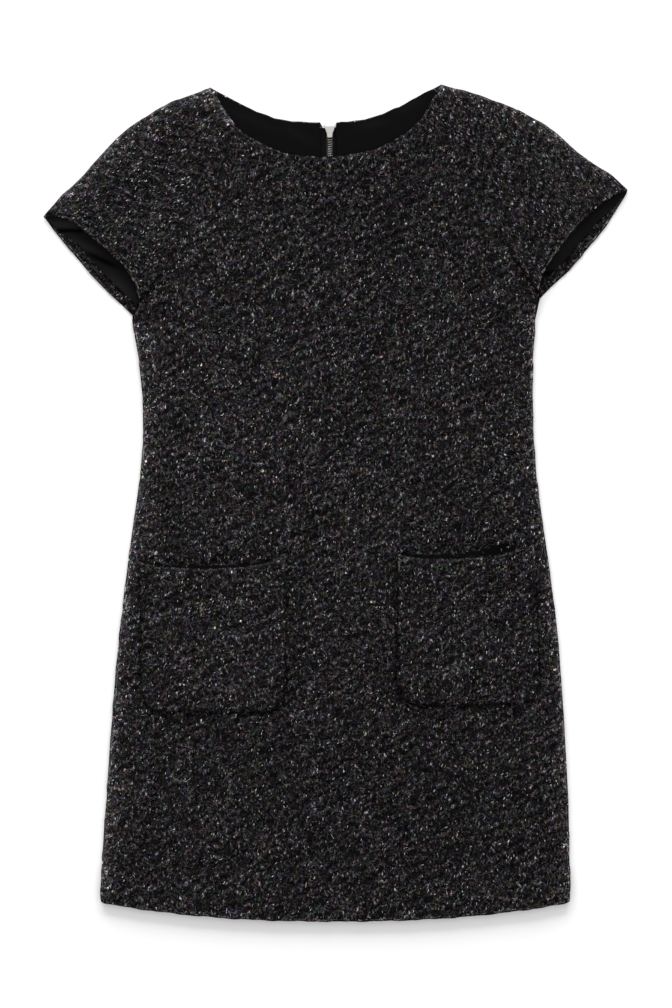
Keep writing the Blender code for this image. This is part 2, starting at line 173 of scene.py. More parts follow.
# loops of the yarn: scale of the noise, how thin its level line is, and which level
LOOPS = ((0.13, 0.028, 0.5), (0.16, 0.03, 0.44), (0.15, 0.03, 0.57))
# how far the weave is turned on each piece
GRAINS = {"front_panel": 0, "back_left": 0, "back_right": 0, "pocket_left": 2, "pocket_right": -3,
          "sleeve_front_left": 38, "sleeve_front_right": -42,
          "sleeve_back_left": 38, "sleeve_back_right": -42}
print("one float, mm:", YARN_PITCH / 2, "by", FLOAT_LENGTH, "and a rib every", RIB_PITCH)

# %% Colours of the weave
CHARCOAL = "#413e40"
TWEED_LIGHT = 0.235
# a float's random value, and how light that float is beside the usual one
FLOAT_TONES = ((0.0, 0.5), (0.3, 0.75), (0.6, 0.95), (0.85, 1.3), (0.94, 2.2), (0.985, 5.0), (1.0, 9.0))
BRIGHTEST = FLOAT_TONES[-1][1]
# painted shade: the gap between two floats is drawn darker
FLOAT_GAP_SHADE = 0.6         # how light the gap between two floats is
LOOP_BASE = 0.5        # how light the cloth is between the loops, and on them
LOOP_GAIN = 5.0
RIB_GAIN = 0.4         # how far the ribs, the patches and the dye change the cloth
PATCH_GAIN = 0.2
DYE = 0.55
SPECK = 0.05
# pieces painted a little lighter, as painted light: the left pocket more than the right
PAINTED_LIGHTER_PIECES = {"pocket_left": 1.14, "pocket_right": 1.03}
NOISE, MATH, VECTOR = "ShaderNodeTexNoise", "ShaderNodeMath", "ShaderNodeVectorMath"
print("charcoal wool, linear:", [round(part, 3) for part in linear(CHARCOAL)[:3]])


# %% Floats of yarn on their slanted lattice
def yarn_floats(tree, turned):
    """The lattice's rows, and each float's hump, tone and colour."""
    slope = math.tan(math.radians(RIB_ANGLE))
    x = add(tree, "ShaderNodeSeparateXYZ", {0: turned}, out="X")
    y = add(tree, "ShaderNodeSeparateXYZ", {0: turned}, out="Y")
    stray = add(tree, NOISE, {"Vector": turned, "Scale": 0.25, "Detail": 2.0}, out="Color")
    aside = add(tree, "ShaderNodeSeparateColor", {0: stray}, out=0)
    ahead = add(tree, "ShaderNodeSeparateColor", {0: stray}, out=1)
    column = add(tree, MATH, {0: aside, 1: STRAY, 2: x}, operation="MULTIPLY_ADD")
    climb = add(tree, MATH, {0: column, 1: -slope, 2: y}, operation="MULTIPLY_ADD")
    row = add(tree, MATH, {0: ahead, 1: STRAY, 2: climb}, operation="MULTIPLY_ADD")
    u = add(tree, MATH, {0: column, 1: YARN_PITCH / 2}, operation="DIVIDE")
    v = add(tree, MATH, {0: row, 1: FLOAT_LENGTH}, operation="DIVIDE")
    lattice = add(tree, "ShaderNodeCombineXYZ", {0: u, 1: v})
    distance = add(tree, "ShaderNodeTexVoronoi", {"Vector": lattice, "Scale": 1.0, "Randomness": 0.75},
                   voronoi_dimensions="2D")
    colour = distance.node.outputs["Color"]
    # the hump lifts each float's middle in the bump, and in the colour paints the gaps darker as painted
    # shade
    hump = add(tree, "ShaderNodeMapRange", {"Value": distance, "From Min": 0.15, "From Max": 0.7,
                                            "To Min": 1.0, "To Max": FLOAT_GAP_SHADE})
    value = add(tree, "ShaderNodeSeparateColor", {0: colour})
    tone = add(tree, "ShaderNodeValToRGB", {"Fac": value},
               stops=[(at, level / BRIGHTEST) for at, level in FLOAT_TONES])
    return row, hump, tone, colour


# %% Loops that curl over the floats
def yarn_loops(tree, turned):
    """The thin level lines of a few noises, some of which catch the light."""
    loop = 0.0
    for scale, width, level in LOOPS:
        field = add(tree, NOISE, {"Vector": turned, "Scale": scale, "Detail": 0.0, "Distortion": 0.8})
        above = add(tree, MATH, {0: field, 1: level}, operation="SUBTRACT")
        off = add(tree, MATH, {0: above}, operation="ABSOLUTE")
        line = add(tree, "ShaderNodeMapRange", {"Value": off, "From Max": width, "To Min": 1.0,
                                                "To Max": 0.0})
        loop = add(tree, MATH, {0: line, 1: loop}, operation="MAXIMUM")
    wide = add(tree, NOISE, {"Vector": turned, "Scale": 0.3, "Detail": 1.0})
    glint = add(tree, "ShaderNodeMapRange", {"Value": wide, "From Min": 0.4, "From Max": 0.65,
                                             "To Min": 0.15, "To Max": 1.8})
    return add(tree, MATH, {0: loop, 1: glint}, operation="MULTIPLY")


# %% Ribs across the lattice, and the dye
def ribs_of(tree, turned, row):
    """A sine across the slanted rows, swayed by a wide noise."""
    per_mm = 2 * math.pi * math.cos(math.radians(RIB_ANGLE)) / RIB_PITCH
    sway = add(tree, NOISE, {"Vector": turned, "Scale": 0.06, "Detail": 1.0})
    phase = add(tree, MATH, {0: row, 1: per_mm}, operation="MULTIPLY")
    phase = add(tree, MATH, {0: sway, 1: 12.0, 2: phase}, operation="MULTIPLY_ADD")
    wave = add(tree, MATH, {0: phase}, operation="SINE")
    return add(tree, "ShaderNodeMapRange", {"Value": wave, "From Min": -1.0, "From Max": 1.0,
                                            "To Min": 1 - RIB_GAIN, "To Max": 1 + RIB_GAIN})


def dyed(tree, turned, speck):
    """Charcoal with wide soft patches of warm and cool yarn, and a little change in each float."""
    wide = add(tree, NOISE, {"Vector": turned, "Scale": 0.1, "Detail": 0.0}, out="Color")
    patches = add(tree, VECTOR, {0: wide, 1: (DYE, DYE, DYE * 1.2),
                                 2: (1 - DYE / 2, 1 - DYE / 2, 1 - DYE * 0.6)}, operation="MULTIPLY_ADD")
    specks = add(tree, VECTOR, {0: speck, 1: (SPECK,) * 3, 2: (1 - SPECK / 2,) * 3},
                 operation="MULTIPLY_ADD")
    hue = add(tree, VECTOR, {0: patches, 1: specks}, operation="MULTIPLY")
    return add(tree, VECTOR, {0: hue, 1: linear(CHARCOAL)[:3]}, operation="MULTIPLY")


# %% [markdown]
# The tweed's material multiplies these together.  Each piece has its own, because each was cut
# with its grain turned another way.  A point attribute called painted_shading also reaches it:
# painted shade along the seams and round the pockets, painted light along the free edges, and
# painted patches of light and shade.  Wool has almost no gloss, so the roughness is full and the
# specular level close to nothing.


# %% Tweed material
def tweed(name, grain, share):
    """grain is how far the weave is turned on this piece; share is how much painted light the piece gets
    beside the others.
    """
    material, tree, shader = new_material(name)
    place = add(tree, "ShaderNodeTexCoord", {}, out="Object")
    turned = add(tree, "ShaderNodeMapping", {"Vector": place, "Rotation": (0, 0, math.radians(grain)),
                                             "Scale": (1 / MM, 1 / MM, 1 / MM)})
    row, hump, tone, speck = yarn_floats(tree, turned)
    loop = yarn_loops(tree, turned)
    rib = ribs_of(tree, turned, row)
    wide = add(tree, NOISE, {"Vector": turned, "Scale": 0.045, "Detail": 3.0})
    patch = add(tree, "ShaderNodeMapRange", {"Value": wide, "From Min": 0.3, "From Max": 0.7,
                                             "To Min": 1 - PATCH_GAIN, "To Max": 1 + PATCH_GAIN})
    # painted light and shade, read from the painted_shading attribute, scale the yarn's colour
    painted_shading = add(tree, "ShaderNodeAttribute", {}, out="Fac", attribute_name="painted_shading")
    light = add(tree, MATH, {0: loop, 1: LOOP_GAIN, 2: LOOP_BASE}, operation="MULTIPLY_ADD")
    for part in (hump, tone, rib, patch, painted_shading, BRIGHTEST * TWEED_LIGHT * share):
        light = add(tree, MATH, {0: light, 1: part}, operation="MULTIPLY")
    colour = add(tree, VECTOR, {0: dyed(tree, turned, speck), "Scale": light}, operation="SCALE")
    height = add(tree, MATH, {0: rib, 1: hump}, operation="ADD")
    height = add(tree, MATH, {0: height, 1: loop}, operation="ADD")
    bump = add(tree, "ShaderNodeBump", {"Height": height, "Strength": 0.6, "Distance": 0.4 * MM})
    tree.links.new(colour, shader.inputs["Base Color"])
    tree.links.new(bump, shader.inputs["Normal"])
    shader.inputs["Roughness"].default_value = 1.0
    shader.inputs["Specular IOR Level"].default_value = 0.02
    return material


tweeds = {node: tweed("boucle_tweed_" + node, grain, PAINTED_LIGHTER_PIECES.get(node, 1.0)) for node, grain in GRAINS.items()}
print("tweed materials:", len(tweeds))

# %% [markdown]
# ## Lining, tape and metal
# The lining is black acetate satin: smooth, so it keeps a soft gloss where the tweed has none.
# Its threads are finer than the render can show, so they are drawn a little coarser than real.
# Along a fold the satin gets painted light on its ridges and painted shade in its troughs, and
# satin in the cuffs is painted lighter than in the neck; a point attribute called
# fold says where.  The zip's tape is a tight herringbone of matte black cotton and
# polyester.  The zip's metal is brass under nickel plate, bright and slightly warm, worn duller
# where it slides.


# %% Lining material
def satin_lining():
    """Acetate satin, dyed black."""
    material, tree, shader = new_material("acetate_satin_lining")
    place = add(tree, "ShaderNodeTexCoord", {}, out="Object")
    threads = add(tree, "ShaderNodeMapping", {"Vector": place, "Scale": (900, 3500, 900)})
    weave = add(tree, NOISE, {"Vector": threads, "Scale": 1.0, "Detail": 2.0})
    tint = add(tree, "ShaderNodeMix", {0: weave, 6: linear("#070708"), 7: linear("#0d0d0e")}, out=2,
               data_type="RGBA")
    # painted light on the satin's fold ridges and painted shade in its troughs scale its colour
    fold = add(tree, "ShaderNodeAttribute", {}, out="Fac", attribute_name="fold")
    turned = add(tree, VECTOR, {0: tint, "Scale": fold}, operation="SCALE")
    bump = add(tree, "ShaderNodeBump", {"Height": weave, "Strength": 0.15, "Distance": 0.1 * MM})
    tree.links.new(turned, shader.inputs["Base Color"])
    tree.links.new(bump, shader.inputs["Normal"])
    shader.inputs["Roughness"].default_value = 0.6
    shader.inputs["Specular IOR Level"].default_value = 0.02
    return material


# %% Tape material
def woven_tape():
    """Herringbone tape; its ribs are about 1.5 mm apart."""
    material, tree, shader = new_material("herringbone_zip_tape")
    place = add(tree, "ShaderNodeTexCoord", {}, out="Object")
    in_mm = add(tree, "ShaderNodeMapping", {"Vector": place, "Scale": (1 / MM, 1 / MM, 1 / MM)})
    ribs = add(tree, "ShaderNodeTexWave", {"Vector": in_mm, "Scale": 0.35, "Distortion": 1.5,
                                           "Detail Scale": 2.0}, out="Fac", bands_direction="DIAGONAL")
    tint = add(tree, "ShaderNodeMix", {0: ribs, 6: linear("#060607"), 7: linear("#111112")}, out=2,
               data_type="RGBA")
    bump = add(tree, "ShaderNodeBump", {"Height": ribs, "Strength": 0.5, "Distance": 0.15 * MM})
    tree.links.new(tint, shader.inputs["Base Color"])
    tree.links.new(bump, shader.inputs["Normal"])
    shader.inputs["Roughness"].default_value = 0.85
    shader.inputs["Specular IOR Level"].default_value = 0.03
    return material


# %% Metal material
def nickel_plate(name, plate, worn):
    """Nickel plate, cloudy at the scale of a millimetre where it has been handled."""
    material, tree, shader = new_material(name)
    place = add(tree, "ShaderNodeTexCoord", {}, out="Object")
    wear = add(tree, NOISE, {"Vector": place, "Scale": 900.0, "Detail": 3.0})
    tint = add(tree, "ShaderNodeMix", {0: wear, 6: linear(plate), 7: linear(worn)}, out=2, data_type="RGBA")
    rough = add(tree, "ShaderNodeMapRange", {"Value": wear, "To Min": 0.18, "To Max": 0.42})
    tree.links.new(tint, shader.inputs["Base Color"])
    tree.links.new(rough, shader.inputs["Roughness"])
    shader.inputs["Metallic"].default_value = 1.0
    return material


lining_material = satin_lining()
tape_material = woven_tape()
slider_material = nickel_plate("nickel_plated_slider", "#efede9", "#c9c5be")
teeth_material = nickel_plate("aged_nickel_teeth", "#b5b1a9", "#8d8983")
print("lining, tape and metal are ready")

# %% [markdown]
# ## Refining a cloth piece
# The CAD solid is a coarse sheet.  Cloth needs points every two or three millimetres on its
# upper face, to carry creases and the lumps of the yarn.  Its long edges are split again and
# again, in plan, until none is longer than that; the underside, which nobody sees, stays coarse.


# %% Split long edges and smooth the heights
FLAT_FROM = 0.35       # the least rise of the normal of a face that counts as upper or lower


def refine(piece, longest):
    """Split the edges of the upper face until none is longer than this in plan, in millimetres."""
    select_only(piece)
    bpy.ops.object.mode_set(mode="EDIT")
    bpy.ops.mesh.select_mode(type="EDGE")
    for _ in range(9):
        mesh = bmesh.from_edit_mesh(piece.data)
        mesh.normal_update()
        found = 0
        for edge in mesh.edges:
            run = edge.verts[0].co - edge.verts[1].co
            wanted = run.xy.length > longest * MM and all(f.normal.z > -0.5 for f in edge.link_faces)
            edge.select_set(wanted)
            found += wanted
        bmesh.update_edit_mesh(piece.data)
        if not found:
            break
        bpy.ops.mesh.subdivide(number_cuts=1)
        bpy.ops.mesh.select_all(action="SELECT")
        bpy.ops.mesh.quads_convert_to_tris(quad_method="SHORTEST_DIAGONAL", ngon_method="CLIP")
        bpy.ops.mesh.select_all(action="DESELECT")
    bpy.ops.object.mode_set(mode="OBJECT")


def upper_and_rim(piece):
    """Which points are on the upper face, and which of those are on its rim."""
    normals = np.zeros(len(piece.data.polygons) * 3)
    piece.data.polygons.foreach_get("normal", normals)
    rises = normals.reshape(-1, 3)[:, 2]
    corners = np.zeros(len(piece.data.polygons) * 3, int)
    piece.data.polygons.foreach_get("vertices", corners)
    corners = corners.reshape(-1, 3)
    upper = np.zeros(len(piece.data.vertices), bool)
    wall = np.zeros(len(piece.data.vertices), bool)
    upper[corners[rises > FLAT_FROM].ravel()] = True
    wall[corners[np.abs(rises) <= FLAT_FROM].ravel()] = True
    return upper, upper & wall


def smooth_heights(piece, times):
    """Ease the facets out of the upper face, and leave its rim and outline alone."""
    upper, rim = upper_and_rim(piece)
    select_only(piece)
    bpy.ops.object.mode_set(mode="EDIT")
    bpy.ops.mesh.select_mode(type="VERT")
    bpy.ops.mesh.select_all(action="DESELECT")
    bpy.ops.object.mode_set(mode="OBJECT")
    piece.data.vertices.foreach_set("select", upper & ~rim)
    bpy.ops.object.mode_set(mode="EDIT")
    bpy.ops.mesh.vertices_smooth(factor=0.5, repeat=times, xaxis=False, yaxis=False, zaxis=True)
    bpy.ops.object.mode_set(mode="OBJECT")


# %% [markdown]
# ## Edges, creases and yarn
# A turned or seamed edge of thick tweed is round.  The points within a small radius of the
# outline are lowered along a quarter circle, by less where the piece is seamed to its
# neighbour than where its edge is free.  The front's underside comes down to the backs at their
# seams, so that no light shows between them.  Creases are soft ridges and troughs along short
# lines, each with its own height and width.  Last, every point is nudged up or down at random,
# along the weave's diagonal ribs, which gives the knobbly face of boucle.


# %% Distances, creases and the knobbly face
def rim_tree(node):
    """The outline of a CAD node's upper face, as a tree of points a millimetre apart."""
    piece = copy_of(node, "outline_of_" + node)
    upper, rim = upper_and_rim(piece)
    points = points_of(piece)
    ends = [edge.vertices[:] for edge in piece.data.edges if rim[edge.vertices[0]] and rim[edge.vertices[1]]]
    walls = {}
    for face in piece.data.polygons:
        steep = abs(face.normal.z) <= FLAT_FROM
        for key in face.edge_keys:
            walls.setdefault(key, []).append(steep)
    line = []
    for a, b in ends:
        if sorted(walls[tuple(sorted((a, b)))]) == [False, True]:
            steps = max(2, int(np.linalg.norm(points[a] - points[b]) / 0.7))
            line += [points[a] + (points[b] - points[a]) * s for s in np.linspace(0, 1, steps)]
    bpy.data.objects.remove(piece)
    tree = KDTree(len(line))
    for i, point in enumerate(line):
        tree.insert((point[0], point[1], 0), i)
    tree.balance()
    return tree


def distance_in_plan(tree, points):
    """How far each point is from an outline, seen from above."""
    return np.array([tree.find((x, y, 0))[2] for x, y, _ in points])


def along_line(points, start, end):
    """How far along a line each point is, from 0 to 1, and its distance from the line."""
    start, run = np.array(start, float), np.array(end, float) - np.array(start, float)
    share = np.clip(((points[:, :2] - start) @ run) / (run @ run), 0, 1)
    return share, np.linalg.norm(points[:, :2] - start - share[:, None] * run, axis=1)


def crease(points, start, end, height, width):
    """How far a crease lifts each point: most in its middle, and nothing a few widths away."""
    share, off = along_line(points, start, end)
    return height * np.exp(-(off / width) ** 2) * np.sin(math.pi * (0.12 + 0.76 * share)) ** 1.5


def knobs(points, grain, seed):
    """Heights of the diagonal ribs and of the yarn's loops."""
    angle = math.radians(RIB_ANGLE - grain)
    across = -math.sin(angle) * points[:, 0] + math.cos(angle) * points[:, 1]
    sway = 1.6 * np.sin(points[:, 0] / 31 + 1) + 1.3 * np.sin(points[:, 1] / 23 + points[:, 0] / 57)
    ribs = 0.16 * np.sin(2 * math.pi * across / RIB_PITCH + sway)
    return ribs + np.random.default_rng(seed).normal(0, 0.13, len(points)).clip(-0.3, 0.3)


# %% [markdown]
# ## The tweed pieces
# The main creases are listed one by one: the valleys along the raglan seams by each armhole, a
# drag line under the right arm, the soft hollows that the pockets press into the skirt, and the
# steep little valley behind each pocket's gaping mouth.

# %% Creases, a row for each: start x, y, end x, y, height, width in millimetres
CREASES = {
    "front_panel": (
        (-172, 292, -190, 236, -1.6, 9), (-150, 300, -166, 232, 0.9, 12), (112, 240, 196, 160, -1.2, 8),
        (126, 252, 206, 182, 0.9, 9), (-12, 320, -16, 140, -0.7, 14), (162, 300, 178, 262, -1.3, 8),
        (-60, 330, 20, 322, 0.5, 12), (-196, 150, -120, 128, 0.7, 14), (-190, 118, -110, 92, -0.7, 12),
        (60, 110, 150, 92, -0.8, 14), (84, 84, 190, 52, 0.7, 14), (-170, 52, -60, 40, 0.6, 14),
        (-40, -10, -46, -250, -1.0, 10), (54, 0, 52, -260, -1.4, 11), (-200, -240, -60, -236, -0.9, 7),
        (70, -226, 212, -228, -0.9, 7), (-150, -262, -140, -420, 0.8, 20), (-60, -290, -66, -430, -0.8, 18),
        (40, -300, 48, -430, 0.8, 18), (150, -270, 168, -420, -1.0, 20), (215, -250, 222, -400, 0.7, 12),
    ),
    "sleeve_front_left": ((-232, 330, -190, 262, -1.5, 10), (-260, 330, -215, 268, 1.0, 12),
                          (-170, 392, -262, 318, 0.8, 14)),
    "sleeve_front_right": ((186, 300, 210, 252, -1.3, 8), (200, 350, 262, 312, 0.9, 14),
                           (150, 400, 240, 352, -0.8, 14)),
    "pocket_left": ((-190, -120, -110, -150, 0.8, 14), (-150, -190, -80, -170, -0.7, 12)),
    "pocket_right": ((90, -120, 190, -140, -0.7, 14), (110, -180, 200, -170, 0.8, 12)),
}
# Valleys behind the pocket mouths: start x, y, end x, y, depth, width up the dress
MOUTH_VALLEYS = ((-200, -66, -62, -60, 2.0, 7), (76, -56, 204, -46, 2.2, 8))
print("creases:", sum(len(rows) for rows in CREASES.values()) + len(MOUTH_VALLEYS))

# %% Which pieces meet, how fine each is, and where its edges change
NEIGHBOURS = {
    "front_panel": ("sleeve_front_left", "sleeve_front_right"),
    "sleeve_front_left": ("front_panel",), "sleeve_front_right": ("front_panel",),
    "back_left": ("sleeve_back_left", "back_right"), "back_right": ("sleeve_back_right", "back_left"),
    "sleeve_back_left": ("back_left",), "sleeve_back_right": ("back_right",),
    "pocket_left": (), "pocket_right": (),
}
# the longest edge after refining; other pieces have the usual one
USUAL_LONGEST = 3.2
LONGEST = {"front_panel": 4.6, "back_left": 10.0, "back_right": 10.0, "sleeve_back_left": 4.5,
           "sleeve_back_right": 4.5}
# edges: radius of a free edge, of one that is sewn down on a back, and the lowest a point may be
FREE_ROLL = 1.7
COVERED_ROLL = 0.2
LOWEST = 0.3
# how far the front's underside comes down to meet the backs at their seams, and from how far in
TUCK, TUCK_REACH = 1.2, 6
# where the kinds of edge change: y of the pocket mouths, the upper raglan seams and the hem, half
# the neck's width, and the outer and lower limits of the cuffs with how close to its line an edge is
MOUTH_LEVEL = -74
SEAM_FADE = 300
HEM_LEVEL = -424
NECK_HALF_WIDTH = 107
ARM_X, ARM_Y, BY_CUFF = 190, 180, 20
CUFF_LINES = (((-311.5, 305.5), (-209, 213.5)), ((311.5, 333.5), (215.5, 224)))
# kind of edge: how much painted light it gets, painted shade where below zero, and how far in that dies away
EDGE_PAINTED_SHADING = {"left": (2.6, 6.8), "right": (2.2, 5.2), "opening": (0.7, 1.4), "mouth": (0.9, 1.4),
            "sewn": (-0.2, 3.0)}
# painted patches of light and shade: middle x, y, reach in x, y, how much lighter
PAINTED_SHADING_PATCHES = ((80, 312, 130, 80, -0.15), (-137, 55, 80, 130, 0.12), (90, -330, 150, 90, -0.15),
          (-120, 350, 60, 50, 0.06), (-60, 200, 60, 40, 0.05),
          (-150, 172, 70, 7, 0.13), (-140, 154, 70, 7, -0.1), (-150, 128, 60, 6, 0.1),
          (-160, 92, 60, 6, -0.12), (-150, 44, 60, 7, 0.1), (-165, -250, 60, 6, -0.1),
          (150, -190, 60, 7, -0.12), (-120, -290, 90, 6, -0.1), (-60, -330, 110, 7, 0.1),
          (-80, -398, 150, 6, 0.12), (-60, -384, 150, 6, -0.1), (190, -250, 40, 7, -0.1))
# painted shade on the front round each pocket: beside its sides and base, and near a side seam
POCKET_PAINTED_SHADE = {"pocket_left": 0.24, "pocket_right": 0.36}
POCKET_PAINTED_SHADE_OUTER = 0.06
OUTER_X = 196

# %% Build the tweed pieces
rims = {node: rim_tree(node) for node in NEIGHBOURS}


def edge_of(node, x, y):
    """How far a point is from its piece's edge, and what kind of edge that is."""
    place, _, off = rims[node].find((x, y, 0))
    if any(rims[other].find(place)[2] < 0.9 for other in NEIGHBOURS[node]):
        return off, "seam"
    if "pocket" in node:
        return off, "mouth" if place[1] > MOUTH_LEVEL else "sewn"
    if place[1] < HEM_LEVEL or (abs(place[0]) < NECK_HALF_WIDTH and place[1] > SEAM_FADE):
        return off, "opening"
    by_arm = abs(place[0]) > ARM_X and place[1] > ARM_Y
    if by_arm and min(along_line(np.array([place]), *line)[1][0] for line in CUFF_LINES) < BY_CUFF:
        return off, "opening"
    return off, "left" if place[0] < 0 else "right"


def roll_edges(node, points, upper, edges):
    """Round the edges over, and sink the front a little round each pocket."""
    for i in np.flatnonzero(upper):
        x, y, _ = points[i]
        off, kind = edges[i]
        roll = FREE_ROLL
        if kind == "seam":
            roll = 0.3 + 0.6 * low_on_seam(y)
        elif "back" in node and kind != "opening":
            roll = COVERED_ROLL
        reach = roll * (2.6 if kind == "sewn" else 1.6)
        if off < reach:
            points[i, 2] -= roll * (1 - math.sqrt(1 - (1 - off / reach) ** 2))
        if node == "front_panel":
            gap = min(rims[pocket].find((x, y, 0))[2] for pocket in ("pocket_left", "pocket_right"))
            points[i, 2] -= 0.7 * math.exp(-(gap / 4.5) ** 2)
    if "front" in node:
        for i in np.flatnonzero(~upper):
            off, kind = edges[i]
            if kind in ("left", "right") and off < TUCK_REACH:
                points[i, 2] -= TUCK * (1 - off / TUCK_REACH)


def low_on_seam(y):
    """0 on the upper part of a raglan seam, 1 near the arm, where it is pulled."""
    return min(1, max(0, (SEAM_FADE - y) / 60))


def painted_shading_at(node, points, edges):
    """Painted light and shade at each point, as a factor on the yarn's colour."""
    painted_shading = np.ones(len(points))
    # painted patches of light and shade
    for x, y, rx, ry, amount in PAINTED_SHADING_PATCHES:
        painted_shading += amount * np.exp(-((points[:, 0] - x) / rx) ** 2 - ((points[:, 1] - y) / ry) ** 2)
    for i, (x, y, _) in enumerate(points):
        off, kind = edges[i]
        if kind == "seam":
            # painted shade in the raglan seams, deepest near the arms
            painted_shading[i] -= (0.05 + 0.5 * low_on_seam(y)) * math.exp(-(off / 2.2) ** 2)
        else:
            # painted light along the free edges, and painted shade along a pocket's sewn edges
            amount, width = EDGE_PAINTED_SHADING[kind]
            painted_shading[i] += amount * math.exp(-off / width)
        if node == "front_panel":
            # painted shade on the front round each pocket
            for pocket, pocket_shade in POCKET_PAINTED_SHADE.items():
                place, _, gap = rims[pocket].find((x, y, 0))
                depth = pocket_shade if abs(place[0]) < OUTER_X else POCKET_PAINTED_SHADE_OUTER
                painted_shading[i] -= depth * math.exp(-(gap / 5.0) ** 2)
    return painted_shading.clip(0.15, 4)


# corner x, y, how far round it the cloth moves, and how far the corner itself moves in x, y
CORNERS = ((-311.5, 305.5, 9, -0.5, 0.2), (311.5, 333.5, 10, -0.2, -0.5), (-250.6, -426, 8, 1.0, 1.6),
           (250.2, -426, 8, -1.0, 1.6), (215.8, 219, 9, 1.6, -1.0))


def wander(points):
    """Blunt the corners, and let every outline stray by half a millimetre.

    Both depend on place alone, so pieces that touch move together."""
    x, y = points[:, 0].copy(), points[:, 1].copy()
    for at_x, at_y, reach, in_x, in_y in CORNERS:
        near = (1 - np.hypot(x - at_x, y - at_y) / reach).clip(0, 1) ** 2
        points[:, 0] += near * in_x
        points[:, 1] += near * in_y
    points[:, 0] += 0.35 * np.sin(y / 6.5 + x / 40) + 0.25 * np.sin(y / 2.9 + x / 15)
    points[:, 1] += 0.35 * np.sin(x / 7.3 + y / 35 + 1) + 0.25 * np.sin(x / 3.1 + y / 14 + 2)


def make_tweed_piece(node, seed):
    """One cut piece of tweed, refined, creased and rolled at its edges."""
    piece = copy_of(node, node + "_tweed")
    refine(piece, LONGEST.get(node, USUAL_LONGEST))
    smooth_heights(piece, 30)
    points = points_of(piece)
    upper, _ = upper_and_rim(piece)
    top = points[upper]
    change = knobs(top, GRAINS[node], seed)
    for x0, y0, x1, y1, height, width in CREASES.get(node, ()):
        change += crease(top, (x0, y0), (x1, y1), height, width)
    if node == "front_panel":
        for x0, y0, x1, y1, depth, width in MOUTH_VALLEYS:
            change += crease(top, (x0, y0), (x1, y1), -depth, width)
    inward = distance_in_plan(rims[node], top)
    points[upper, 2] += change * np.clip(inward / 6, 0.15, 1)
    edges = [edge_of(node, x, y) for x, y, _ in points]
    edge_tables[node] = edges
    roll_edges(node, points, upper, edges)
    mark = piece.data.attributes.new("painted_shading", "FLOAT", "POINT")
    mark.data.foreach_set("value", painted_shading_at(node, points, edges))
    points[upper, 2] = np.maximum(points[upper, 2], LOWEST)
    wander(points)
    move_points(piece, points)
    finish(piece, "dress", tweeds[node], node)
    return piece


edge_tables = {}
tweed_pieces = {node: make_tweed_piece(node, seed) for seed, node in enumerate(NEIGHBOURS)}

# %% [markdown]
# ## Loops of boucle yarn
# Boucle gets its name from the loops in its yarn, which stand off the cloth and soften its
# outline.  A particle system of hairs would not export, so each loop is a small ribbon of five
# faces.  One flat ribbon is modelled, and array arithmetic copies it: every copy is bent to its
# own arc, and stands on its own random point of the cloth.  More of them lie along the edges,
# where they break up the outline.  The draws are seeded, so they come out the same every time.

# %% Loop sizes and yarns
# piece: loops on its face, loops along its edge
LOOP_COUNTS = {"front_panel": (15000, 1500), "sleeve_front_left": (1050, 350),
               "sleeve_front_right": (1050, 350), "pocket_left": (1150, 100), "pocket_right": (1150, 100),
               "back_left": (60, 300), "back_right": (60, 300), "sleeve_back_left": (250, 160),
               "sleeve_back_right": (250, 160)}
print("loops to lay:", sum(sum(counts) for counts in LOOP_COUNTS.values()))
LOOP_SEGMENTS = 5
YARN_WIDTH = 0.5
EDGE_RADIUS = 4.0
EDGE_BAND = (1.0, 2.4)  # how far in from the edge its loops stand
CORNER_GAP = 9         # none of them stand this close to a corner
LOOP_LIGHT = 0.034     # the usual loop
SLUB_SHARE = 0.16      # share of the loops that are pale slubs
SLUB_LIGHT = 0.26
SLUB_RADIUS = 2.2


def loop_yarn():
    """Wool and mohair yarn, from near black to pale grey, a loop at a time."""
    material, tree, shader = new_material("boucle_loop_yarn")
    shade = add(tree, "ShaderNodeAttribute", {}, out="Color", attribute_name="shade")
    tree.links.new(shade, shader.inputs["Base Color"])
    shader.inputs["Roughness"].default_value = 1.0
    shader.inputs["Specular IOR Level"].default_value = 0.02
    return material


loop_material = loop_yarn()


# %% One ribbon
def flat_ribbon():
    """The points and faces of one ribbon: x runs from 0 to 1 along it, y is -0.5 or 0.5."""
    bpy.ops.object.select_all(action="DESELECT")
    bpy.ops.mesh.primitive_grid_add(x_subdivisions=LOOP_SEGMENTS, y_subdivisions=1, size=1 * MM)
    grid = bpy.context.object
    points = points_of(grid)
    faces = np.array([face.vertices[:] for face in grid.data.polygons])
    bpy.data.objects.remove(grid)
    return points[:, 0] + 0.5, points[:, 1], faces


ribbon_along, ribbon_side, ribbon_faces = flat_ribbon()
print("one ribbon has", len(ribbon_faces), "faces")


# %% Places on the face and along the edge
def face_places(node, generator, count):
    """Random points of the face, more of them on the diagonal ribs and none near the edge."""
    piece = tweed_pieces[node]
    points = points_of(piece)
    corners = np.zeros(len(piece.data.polygons) * 3, int)
    piece.data.polygons.foreach_get("vertices", corners)
    a, b, c = (points[corners.reshape(-1, 3)[:, k]] for k in range(3))
    area = np.cross(b - a, c - a)[:, 2] / 2
    up = np.flatnonzero(area > 0.02)
    chosen = generator.choice(up, count * 2, p=area[up] / area[up].sum())
    u, v = generator.random((2, len(chosen)))
    u, v = np.where(u + v > 1, 1 - u, u), np.where(u + v > 1, 1 - v, v)
    places = a[chosen] + u[:, None] * (b - a)[chosen] + v[:, None] * (c - a)[chosen]
    angle = math.radians(RIB_ANGLE - GRAINS[node])
    across = -math.sin(angle) * places[:, 0] + math.cos(angle) * places[:, 1]
    order = np.cos(2 * math.pi * across / RIB_PITCH) + generator.normal(0, 0.9, len(places))
    order[distance_in_plan(rims[node], places) < 2.5] = 9
    return places[np.argsort(order)][:count]


